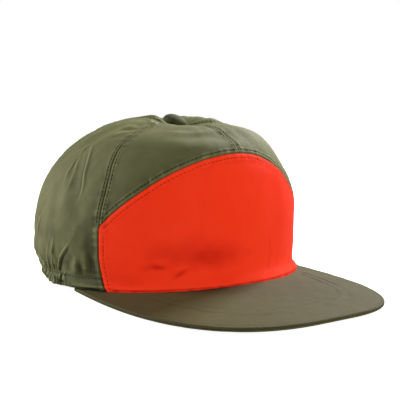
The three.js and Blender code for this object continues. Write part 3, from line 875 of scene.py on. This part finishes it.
def button():
    """A cloth-covered lens, spun from its profile, with small gathers at its rim."""
    bm = bmesh.new()
    cloth_x = bm.verts.layers.float.new("cloth_x")
    cloth_y = bm.verts.layers.float.new("cloth_y")
    # The rim's gathers as crest, for painted highlights and painted shade.
    relief = bm.verts.layers.float.new("crest")
    profile = []
    for step in range(25):
        turn = math.pi * (step / 24) - math.pi / 2
        height = BUTTON_DOME if turn > 0 else BUTTON_BELLY
        profile.append(bm.verts.new((BUTTON_RADIUS * math.cos(turn), 0, height * math.sin(turn))))
    edges = [bm.edges.new(pair) for pair in zip(profile, profile[1:])]
    bmesh.ops.spin(
        bm, geom=profile + edges, cent=(0, 0, 0), axis=(0, 0, 1), dvec=(0, 0, 0),
        angle=2 * math.pi, steps=72, use_merge=True, use_duplicate=False,
    )
    bmesh.ops.remove_doubles(bm, verts=list(bm.verts), dist=0.001)
    for vert in bm.verts:
        around = math.atan2(vert.co.y, vert.co.x)
        reach = math.hypot(vert.co.x, vert.co.y) / BUTTON_RADIUS
        gather = 0.13 * math.sin(19 * around + 2 * math.sin(3 * around)) * reach ** 5
        dent = -0.35 * math.exp(-((vert.co.x - 1.5) ** 2 + (vert.co.y + 1) ** 2) / 14)
        vert[cloth_x] = vert.co.x
        vert[cloth_y] = vert.co.y
        vert[relief] = gather
        scale = 1 + gather / BUTTON_RADIUS
        vert.co = Vector((vert.co.x * scale, vert.co.y * scale, vert.co.z + dent * (vert.co.z > 0)))
    axis, tilt = tilt_turn()
    bmesh.ops.rotate(bm, verts=list(bm.verts), cent=(0, 0, 0), matrix=Matrix.Rotation(tilt, 3, axis))
    solid_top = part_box("top_button")[1][2] / MM
    lift = solid_top + BUTTON_LIFT - max(vert.co.z for vert in bm.verts)
    for vert in bm.verts:
        vert.co = (vert.co + Vector((0, CAP_FORWARD - APEX_FORWARD, lift))) * MM
    bmesh.ops.recalc_face_normals(bm, faces=list(bm.faces))
    return finish_piece("button_cloth_cover", bm)


# Thread

def stitch_row(points, normals, pitch=STITCH_PITCH):
    """Even stitches along a line: the middle, direction and normal of each."""
    steps = np.linalg.norm(np.diff(points, axis=0), axis=1)
    travelled = np.concatenate(([0], np.cumsum(steps)))
    middles = np.arange(pitch / 2, travelled[-1] - pitch / 3, pitch)

    def read(values, places):
        return np.stack([np.interp(places, travelled, values[:, k]) for k in range(3)], axis=1)

    def unit(vectors):
        return vectors / np.maximum(1e-9, np.linalg.norm(vectors, axis=1, keepdims=True))

    direction = read(points, middles + 0.5) - read(points, middles - 0.5)
    return read(points, middles), unit(direction), unit(read(normals, middles))


def thread_piece(name, rows, radius=STITCH_RADIUS, sink=0.05):
    """Many small stitches joined in one mesh; each is a short rounded bead of thread."""
    template = bmesh.new()
    bmesh.ops.create_uvsphere(template, u_segments=6, v_segments=5, radius=1)
    template.verts.index_update()
    shape = np.array([vert.co[:] for vert in template.verts])
    faces = [[vert.index for vert in face.verts] for face in template.faces]
    template.free()
    verts = []
    polygons = []
    for center, direction, normal in rows:
        side = np.cross(normal, direction)
        for c, d, s, n in zip(center, direction, side, normal):
            bow = -0.28 * (shape[:, 2] ** 2)
            body = c + np.outer(shape[:, 2] * STITCH_LENGTH / 2, d) + np.outer(shape[:, 0] * radius, s)
            body = body + np.outer(shape[:, 1] * radius + bow * radius * 2 - sink, n)
            start = len(verts) * len(shape)
            verts.append(body)
            polygons.extend([[start + index for index in face] for face in faces])
    mesh = bpy.data.meshes.new(name)
    mesh.from_pydata(cap_place(np.concatenate(verts)).tolist(), [], polygons)
    return add_piece(name, mesh)


def crown_line(angle, level, proud=0.0):
    """Stitches on the crown, along a line of angles and levels."""
    points, _ = crown_cloth(angle, level, np.zeros(np.shape(angle)) + proud + THREAD_PROUD)
    return stitch_row(points, crown_normal(angle, level))


def seam_row(seam, offset, first, last=0.95):
    """A row beside an upright seam, from one level to another."""
    level = np.linspace(first, last, 300)
    angle = seam + np.degrees(offset / oval_radius(np.full_like(level, seam), level))
    return crown_line(angle, level)


def arch_row(offset):
    """A row beside the arched seam, plus above it."""
    angle = np.linspace(-FRONT_SEAM_ANGLE + 2.0, FRONT_SEAM_ANGLE - 2.0, 500)
    seam = arch_level(angle)
    level = seam + offset * arch_stretch(angle, oval_radius(angle, seam)) / CLOTH_LENGTH
    return crown_line(angle, level)


def hem_row(first, last):
    """The row that closes the folded hem and the casing."""
    angle = np.linspace(first, last, 1400)
    level = hem_level(angle) - HEM_ROW_DROP / CLOTH_LENGTH
    gathered = np.abs(heading(angle)) > CASING_START_ANGLE
    proud = np.where(gathered, CASING_PROUD, HEM_PROUD)
    return crown_line(angle, level, hem_offset(angle, level, proud, 1))


def bill_row(inset, clear_of_joint):
    """A row of stitches at an even distance inside the bill's outline."""
    ex, ey = bill_edge(np.linspace(-1, 1, 721))
    dx, dy = np.gradient(ex), np.gradient(ey)
    run = np.maximum(1e-9, np.hypot(dx, dy))
    x, y = ex + dy / run * inset, ey - dx / run * inset
    evenly_inside = np.abs(bill_outline_distance(x, y) - inset) < 0.35
    ahead_of_crown = np.hypot(x / HALF_WIDTH, y / FRONT_DEPTH) > clear_of_joint
    x, y = x[evenly_inside & ahead_of_crown], y[evenly_inside & ahead_of_crown]
    from_joint = np.clip((np.hypot(x, y) - 90) / 70, 0, 1)
    turn = np.degrees(np.arctan2(-x, -y))
    z = bill_underside(x, turn, from_joint) + BILL_THICKNESS - BILL_STITCH_SINK
    normals = np.tile((0.0, 0.0, 1.0), (len(x), 1))
    return stitch_row(np.stack((x, y, z), axis=-1), normals, BILL_STITCH_PITCH)


# Materials

def group_sockets(group, inputs, outputs):
    """A node group's sockets. It gives back the nodes that it starts and ends with."""
    for name, kind, value in inputs:
        socket = group.interface.new_socket(name=name, in_out="INPUT", socket_type=kind)
        socket.default_value = value
    for name, kind in outputs:
        group.interface.new_socket(name=name, in_out="OUTPUT", socket_type=kind)
    return group.nodes.new("NodeGroupInput"), group.nodes.new("NodeGroupOutput")


def feed(links, value, socket):
    """Give a socket another node's output, or a constant."""
    if hasattr(value, "is_linked"):
        links.new(value, socket)
    else:
        socket.default_value = value


def math_node(nodes, links, operation, *values):
    node = nodes.new("ShaderNodeMath")
    node.operation = operation
    for value, socket in zip(values, node.inputs):
        feed(links, value, socket)
    return node.outputs[0]


def color_mix(nodes, links, factor, *colors):
    """Two colors mixed by a factor."""
    node = nodes.new("ShaderNodeMix")
    node.data_type = "RGBA"
    factors = [socket for socket in node.inputs if socket.type == "VALUE"]
    links.new(factor, factors[0])
    for color, socket in zip(colors, [socket for socket in node.inputs if socket.type == "RGBA"]):
        feed(links, color, socket)
    return next(socket for socket in node.outputs if socket.type == "RGBA")


def noise_node(nodes, links, place, scale, detail=2):
    node = nodes.new("ShaderNodeTexNoise")
    node.inputs["Scale"].default_value = scale
    node.inputs["Detail"].default_value = detail
    links.new(place, node.inputs["Vector"])
    return node.outputs["Fac"]


def range_node(nodes, links, value, low, high):
    """From 0 at low to 1 at high."""
    node = nodes.new("ShaderNodeMapRange")
    node.inputs["From Min"].default_value = low
    node.inputs["From Max"].default_value = high
    links.new(value, node.inputs["Value"])
    return node.outputs["Result"]


def bump_node(nodes, links, height, strength, distance, shader):
    node = nodes.new("ShaderNodeBump")
    node.inputs["Strength"].default_value = strength
    node.inputs["Distance"].default_value = distance
    links.new(height, node.inputs["Height"])
    links.new(node.outputs["Normal"], shader.inputs["Normal"])


def weave_group():
    """Plain weave: warp and weft threads that pass over and under each other."""
    group = bpy.data.node_groups.new("plain_weave", "ShaderNodeTree")
    start, end = group_sockets(
        group,
        [("Thread Pitch", "NodeSocketFloat", 0.45), ("Slub", "NodeSocketFloat", 0.6)],
        [("Height", "NodeSocketFloat"), ("Gap Mask", "NodeSocketFloat"), ("Slub Mask", "NodeSocketFloat")],
    )
    nodes, links = group.nodes, group.links
    uv = nodes.new("ShaderNodeUVMap")
    uv.uv_map = "cloth"
    split = nodes.new("ShaderNodeSeparateXYZ")
    links.new(uv.outputs["UV"], split.inputs[0])
    threads = []
    crossings = []
    for axis in ("X", "Y"):
        cells = math_node(nodes, links, "DIVIDE", split.outputs[axis], start.outputs["Thread Pitch"])
        turn = math_node(nodes, links, "MULTIPLY", cells, math.pi)
        wave = math_node(nodes, links, "SINE", turn)
        threads.append(math_node(nodes, links, "ABSOLUTE", wave))
        crossings.append(math_node(nodes, links, "COSINE", turn))
    over = math_node(nodes, links, "MULTIPLY", *crossings)
    warp_share = math_node(nodes, links, "MULTIPLY_ADD", over, 0.5, 0.5)
    weft_share = math_node(nodes, links, "SUBTRACT", 1.0, warp_share)
    warp = math_node(nodes, links, "MULTIPLY", threads[0], warp_share)
    weft = math_node(nodes, links, "MULTIPLY", threads[1], weft_share)
    woven = math_node(nodes, links, "ADD", warp, weft)
    stretch = nodes.new("ShaderNodeMapping")
    stretch.inputs["Scale"].default_value = (2.6, 0.35, 1)
    links.new(uv.outputs["UV"], stretch.inputs["Vector"])
    slub = noise_node(nodes, links, stretch.outputs["Vector"], 0.55, 3)
    slubbed = math_node(nodes, links, "MULTIPLY", slub, start.outputs["Slub"])
    links.new(math_node(nodes, links, "ADD", woven, slubbed), end.inputs["Height"])
    links.new(math_node(nodes, links, "SUBTRACT", 1.0, woven), end.inputs["Gap Mask"])
    links.new(slub, end.inputs["Slub Mask"])
    return group


def tone_group():
    """Cloth tone: broad fading and small blotches, with painted highlights on ridges and painted shade in
    hollows.
    """
    group = bpy.data.node_groups.new("cloth_tone", "ShaderNodeTree")
    start, end = group_sockets(
        group,
        [
            ("Cloth Color", "NodeSocketColor", (0.2, 0.2, 0.1, 1)),
            ("Worn And Highlight Color", "NodeSocketColor", (0.3, 0.3, 0.2, 1)),
            ("Painted Shade Color", "NodeSocketColor", (0.1, 0.1, 0.05, 1)),
            ("Fade", "NodeSocketFloat", 0.3),
            ("Crease Shade", "NodeSocketFloat", 0.5),
        ],
        [("Color", "NodeSocketColor")],
    )
    nodes, links = group.nodes, group.links
    place = nodes.new("ShaderNodeTexCoord").outputs["Object"]
    broad = noise_node(nodes, links, place, 22, 3)
    small = noise_node(nodes, links, place, 160, 4)
    mottle = math_node(nodes, links, "MULTIPLY_ADD", small, 0.5, -0.25)
    blotches = range_node(nodes, links, math_node(nodes, links, "ADD", broad, mottle), 0.38, 0.68)
    faded = math_node(nodes, links, "MULTIPLY", blotches, start.outputs["Fade"])
    # Painted highlight: ridges are mixed towards the worn color. Painted shade: hollows are mixed towards
    # the shade color.
    crest = nodes.new("ShaderNodeAttribute")
    crest.attribute_name = "crest"
    high = range_node(nodes, links, crest.outputs["Fac"], 0.05, 0.55)
    low = range_node(nodes, links, crest.outputs["Fac"], -0.04, -0.65)
    raised = math_node(nodes, links, "MULTIPLY", high, start.outputs["Crease Shade"])
    sunk = math_node(nodes, links, "MULTIPLY", low, start.outputs["Crease Shade"])
    worn_and_highlight = math_node(nodes, links, "MINIMUM", math_node(nodes, links, "ADD", faded, raised), 1.0)
    painted_shade = math_node(nodes, links, "MINIMUM", sunk, 1.0)
    lighter = color_mix(nodes, links, worn_and_highlight, start.outputs["Cloth Color"], start.outputs["Worn And Highlight Color"])
    links.new(color_mix(nodes, links, painted_shade, lighter, start.outputs["Painted Shade Color"]), end.inputs["Color"])
    return group


WEAVE = weave_group()
TONE = tone_group()


def linear(red, green, blue):
    """A screen color, 0 to 255, as the shader's linear color."""

    def spread(share):
        return share / 12.92 if share <= 0.04045 else ((share + 0.055) / 1.055) ** 2.4

    return tuple(spread(value / 255) for value in (red, green, blue)) + (1.0,)


def new_material(name):
    material = bpy.data.materials.new(name)
    material.use_nodes = True
    nodes, links = material.node_tree.nodes, material.node_tree.links
    return material, nodes, links, nodes["Principled BSDF"]


def toned(nodes, cloth, worn_and_highlight, painted_shade, fade, crease):
    """The cloth tone in these colors."""
    tone = nodes.new("ShaderNodeGroup")
    tone.node_tree = TONE
    tone.inputs["Cloth Color"].default_value = cloth
    tone.inputs["Worn And Highlight Color"].default_value = worn_and_highlight
    tone.inputs["Painted Shade Color"].default_value = painted_shade
    tone.inputs["Fade"].default_value = fade
    tone.inputs["Crease Shade"].default_value = crease
    return tone.outputs["Color"]


def cloth_material(name, cloth, worn_and_highlight, painted_shade, fade, crease, rough=0.7, bump=0.5, specular=0.12):
    """Woven cloth: its tone, painted shade in the gaps of its weave, and the weave as a bump."""
    material, nodes, links, shader = new_material(name)
    weave = nodes.new("ShaderNodeGroup")
    weave.node_tree = WEAVE
    # Painted shade in the weave's gaps.
    gaps = math_node(nodes, links, "MULTIPLY", weave.outputs["Gap Mask"], 0.35)
    tone = toned(nodes, cloth, worn_and_highlight, painted_shade, fade, crease)
    links.new(color_mix(nodes, links, gaps, tone, painted_shade), shader.inputs["Base Color"])
    roughness = math_node(nodes, links, "MULTIPLY_ADD", weave.outputs["Slub Mask"], 0.18, rough - 0.09)
    links.new(roughness, shader.inputs["Roughness"])
    shader.inputs["Specular IOR Level"].default_value = specular
    bump_node(nodes, links, weave.outputs["Height"], bump, 0.00025, shader)
    return material


def painted_glow(material, strength, *tone):
    """Painted glow: the cloth gives out light of its own, evenly, so it shows more color than the light
    that falls on it; the glow follows the cloth tone, with its painted highlights and painted shade.
    """
    nodes, links = material.node_tree.nodes, material.node_tree.links
    shader = nodes["Principled BSDF"]
    links.new(toned(nodes, *tone), shader.inputs["Emission Color"])
    shader.inputs["Emission Strength"].default_value = strength


def thread_material(name, color):
    """Sewing thread: fine light and dark along it."""
    material, nodes, links, shader = new_material(name)
    place = nodes.new("ShaderNodeTexCoord").outputs["Object"]
    noise = noise_node(nodes, links, place, 900)
    ramp = nodes.new("ShaderNodeValToRGB")
    dark = tuple(0.6 * value for value in color[:3]) + (1,)
    for element, position, shade in zip(ramp.color_ramp.elements, (0.3, 0.7), (dark, color)):
        element.position = position
        element.color = shade
    links.new(noise, ramp.inputs["Fac"])
    links.new(ramp.outputs["Color"], shader.inputs["Base Color"])
    roughness = math_node(nodes, links, "MULTIPLY_ADD", noise, 0.2, 0.5)
    links.new(roughness, shader.inputs["Roughness"])
    shader.inputs["Specular IOR Level"].default_value = 0.08
    bump_node(nodes, links, noise, 0.4, 0.0001, shader)
    return material


# The second color is worn cloth and the painted highlight on ridges; the third is the painted shade in
# hollows and in the weave's gaps.
OLIVE_WORN_AND_HIGHLIGHT = linear(150, 153, 104)
olive = cloth_material(
    "olive_cotton", linear(103, 103, 65), OLIVE_WORN_AND_HIGHLIGHT, linear(40, 43, 24), 0.16, 0.75)
# The hem is the same olive cloth, painted darker than the crown's olive as painted shade on the low hem.
olive_hem = cloth_material(
    "olive_hem_painted_shade_cotton", linear(90, 92, 57), OLIVE_WORN_AND_HIGHLIGHT, linear(36, 39, 22), 0.16, 0.8)
blaze = cloth_material(
    "blaze_cloth", linear(170, 29, 6), linear(182, 37, 10), linear(104, 9, 2), 0.35, 0.5, 0.75, 0.35, 0.05)
# Painted glow on the front cloth, in the colors of its tone.
painted_glow(blaze, 0.54, linear(255, 60, 29), linear(255, 68, 36), linear(194, 22, 10), 0.5, 0.9)
bill_cloth = cloth_material(
    "brown_bill_cotton", linear(76, 72, 41), linear(93, 88, 54), linear(38, 36, 18), 0.2, 0.6, 0.72)
# The under cover is painted lighter than the top cover, as painted light on the bill's shaded edge.
bill_under = cloth_material(
    "bill_under_painted_light_cotton", linear(112, 108, 70), linear(128, 124, 84), linear(50, 48, 28), 0.2, 0.4)
# The button is painted darker than the crown's olive, as painted shade on its lit top.
button_cloth = cloth_material(
    "button_painted_shade_cotton", linear(70, 73, 42), linear(106, 108, 68), linear(34, 37, 19), 0.16, 0.5)
dark_thread = thread_material("dark_olive_thread", linear(42, 44, 26))
rust_thread = thread_material("rust_thread", linear(140, 34, 14))
bill_thread = thread_material("bill_thread", linear(70, 62, 38))

# Pieces

def dress(piece, material, slot, *nodes_replaced):
    piece.data.materials.append(material)
    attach(piece, "root")
    if nodes_replaced:
        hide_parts(*nodes_replaced)


dress(front_panel(), blaze, "blaze_cloth", "front_panel")
for hand, side in (("right", 1), ("left", -1)):
    front_seam, back_seam = side * FRONT_SEAM_ANGLE, side * BACK_SEAM_ANGLE
    dress(front_gore(hand, side), olive, "olive_cloth", f"front_gore_{hand}")
    side_gore = full_gore(f"side_gore_cloth_{hand}", front_seam, back_seam)
    dress(side_gore, olive, "olive_cloth", f"side_gore_{hand}")
    back_gore = full_gore(f"back_gore_cloth_{hand}", back_seam, side * 180)
    dress(back_gore, olive, "olive_cloth", f"back_gore_{hand}")
    band = hem_stretch(f"hem_band_cloth_{hand}", front_seam, side * CASING_START_ANGLE, 60, HEM_PROUD)
    dress(band, olive_hem, "olive_hem", f"hem_band_{hand}")
casing = hem_stretch("casing_cloth", CASING_START_ANGLE, 360 - CASING_START_ANGLE, 900, CASING_PROUD)
dress(casing, olive_hem, "olive_hem", "elastic_casing")
top_low = BILL_UNDER_THICKNESS + BILL_TOP_LIFT
top_cover = bill_cover("bill_top_cloth", top_low, BILL_TOP_THICKNESS + BILL_TOP_SWELL, True)
dress(top_cover, bill_cloth, "bill_cloth", "bill_top_cover")
under_cover = bill_cover("bill_under_cloth_cover", 0, BILL_UNDER_THICKNESS, False)
dress(under_cover, bill_under, "bill_under_cloth", "bill_under_cover")
dress(button(), button_cloth, "button_cloth", "top_button")

# Stitch rows: each upright seam has one on both sides, from this level up to the button.
ROW_STARTS = dict.fromkeys(LONG_SEAMS, 0.075)
ROW_STARTS[FRONT_SEAM_ANGLE] = ROW_STARTS[-FRONT_SEAM_ANGLE] = ARCH_CORNER + 0.012
ROW_STARTS[0] = ARCH_PEAK + 0.02
crown_rows = []
for seam, first in ROW_STARTS.items():
    for offset in (-SEAM_ROW, SEAM_ROW):
        crown_rows.append(seam_row(seam, offset, first))
crown_rows.append(arch_row(ARCH_ROW_ABOVE))
crown_rows.append(hem_row(FRONT_SEAM_ANGLE + 0.6, 360 - FRONT_SEAM_ANGLE - 0.6))
dress(thread_piece("crown_stitching", crown_rows), dark_thread, "olive_cloth")
front_rows = [arch_row(-ARCH_ROW_BELOW)]
for side in (1, -1):
    front_rows.append(seam_row(side * FRONT_SEAM_ANGLE, -side * ARCH_ROW_BELOW, 0.02, ARCH_CORNER - 0.02))
dress(thread_piece("front_stitching", front_rows, FRONT_STITCH_RADIUS), rust_thread, "blaze_cloth")
bill_rows = [bill_row(inset, 1.03) for inset in BILL_ROWS]
dress(thread_piece("bill_stitching", bill_rows), bill_thread, "bill_cloth")


# Floor, light and camera

def mix_for_camera(nodes, links, lit, seen, output):
    """One shader lights the cap and the other is what the camera sees."""
    rays = nodes.new("ShaderNodeLightPath")
    either = nodes.new("ShaderNodeMixShader")
    links.new(rays.outputs["Is Camera Ray"], either.inputs["Fac"])
    links.new(lit, either.inputs[1])
    links.new(seen, either.inputs[2])
    links.new(either.outputs["Shader"], nodes[output].inputs["Surface"])


def studio_floor():
    bm = bmesh.new()
    bmesh.ops.create_grid(bm, x_segments=8, y_segments=8, size=4)
    bmesh.ops.translate(bm, verts=list(bm.verts), vec=(0, 0, -0.0003))
    floor = finish_piece("studio_floor", bm)
    material, nodes, links, pale = new_material("pale_floor")
    pale.inputs["Base Color"].default_value = (0.6, 0.6, 0.6, 1)
    pale.inputs["Roughness"].default_value = 0.9
    pale.inputs["Emission Color"].default_value = (1, 1, 1, 1)
    pale.inputs["Emission Strength"].default_value = 0.95
    pale.inputs["Specular IOR Level"].default_value = 0.1
    bounce = nodes.new("ShaderNodeBsdfDiffuse")
    bounce.inputs["Color"].default_value = (0.48, 0.48, 0.48, 1)
    mix_for_camera(nodes, links, bounce.outputs["BSDF"], pale.outputs["BSDF"], "Material Output")
    floor.data.materials.append(material)
    return floor


studio_floor()

world = bpy.data.worlds.new("studio")
world.use_nodes = True
surround = world.node_tree.nodes["Background"]
surround.inputs["Color"].default_value = (1, 1, 1, 1)
surround.inputs["Strength"].default_value = 0.23
backdrop = world.node_tree.nodes.new("ShaderNodeBackground")
backdrop.inputs["Color"].default_value = (1, 1, 1, 1)
backdrop.inputs["Strength"].default_value = 1.0
mix_for_camera(
    world.node_tree.nodes, world.node_tree.links,
    surround.outputs["Background"], backdrop.outputs["Background"], "World Output",
)
bpy.context.scene.world = world
bpy.context.scene.view_settings.view_transform = "Standard"


def softbox(name, place, target, size, power):
    light = bpy.data.lights.new(name, "AREA")
    light.shape = "RECTANGLE"
    light.size, light.size_y = size
    light.energy = power
    lamp = bpy.data.objects.new(name, light)
    lamp.location = place
    aim = Vector(target) - Vector(place)
    lamp.rotation_euler = aim.to_track_quat("-Z", "Y").to_euler()
    bpy.context.scene.collection.objects.link(lamp)


softbox("key", (0.95, 0.35, 0.85), (0, 0, 0.05), (0.4, 0.4), 32)
softbox("rear_left", (-0.85, 0.85, 0.5), (0, 0.03, 0.05), (0.3, 0.3), 19)
softbox("front_fill", (0.5, -1.1, 0.3), (0, 0, 0.05), (0.7, 0.5), 7)

camera_data = bpy.data.cameras.new("photo_view")
camera_data.lens = 62.62
camera_data.sensor_width = 36
camera_data.clip_start = 0.01
camera = bpy.data.objects.new("photo_view", camera_data)
camera.location = (-0.24606, -0.39525, 0.10439)
look = Vector((0.53544, 0.83756, -0.10864))
camera.rotation_euler = look.to_track_quat("-Z", "Y").to_euler()
bpy.context.scene.collection.objects.link(camera)
bpy.context.scene.camera = camera
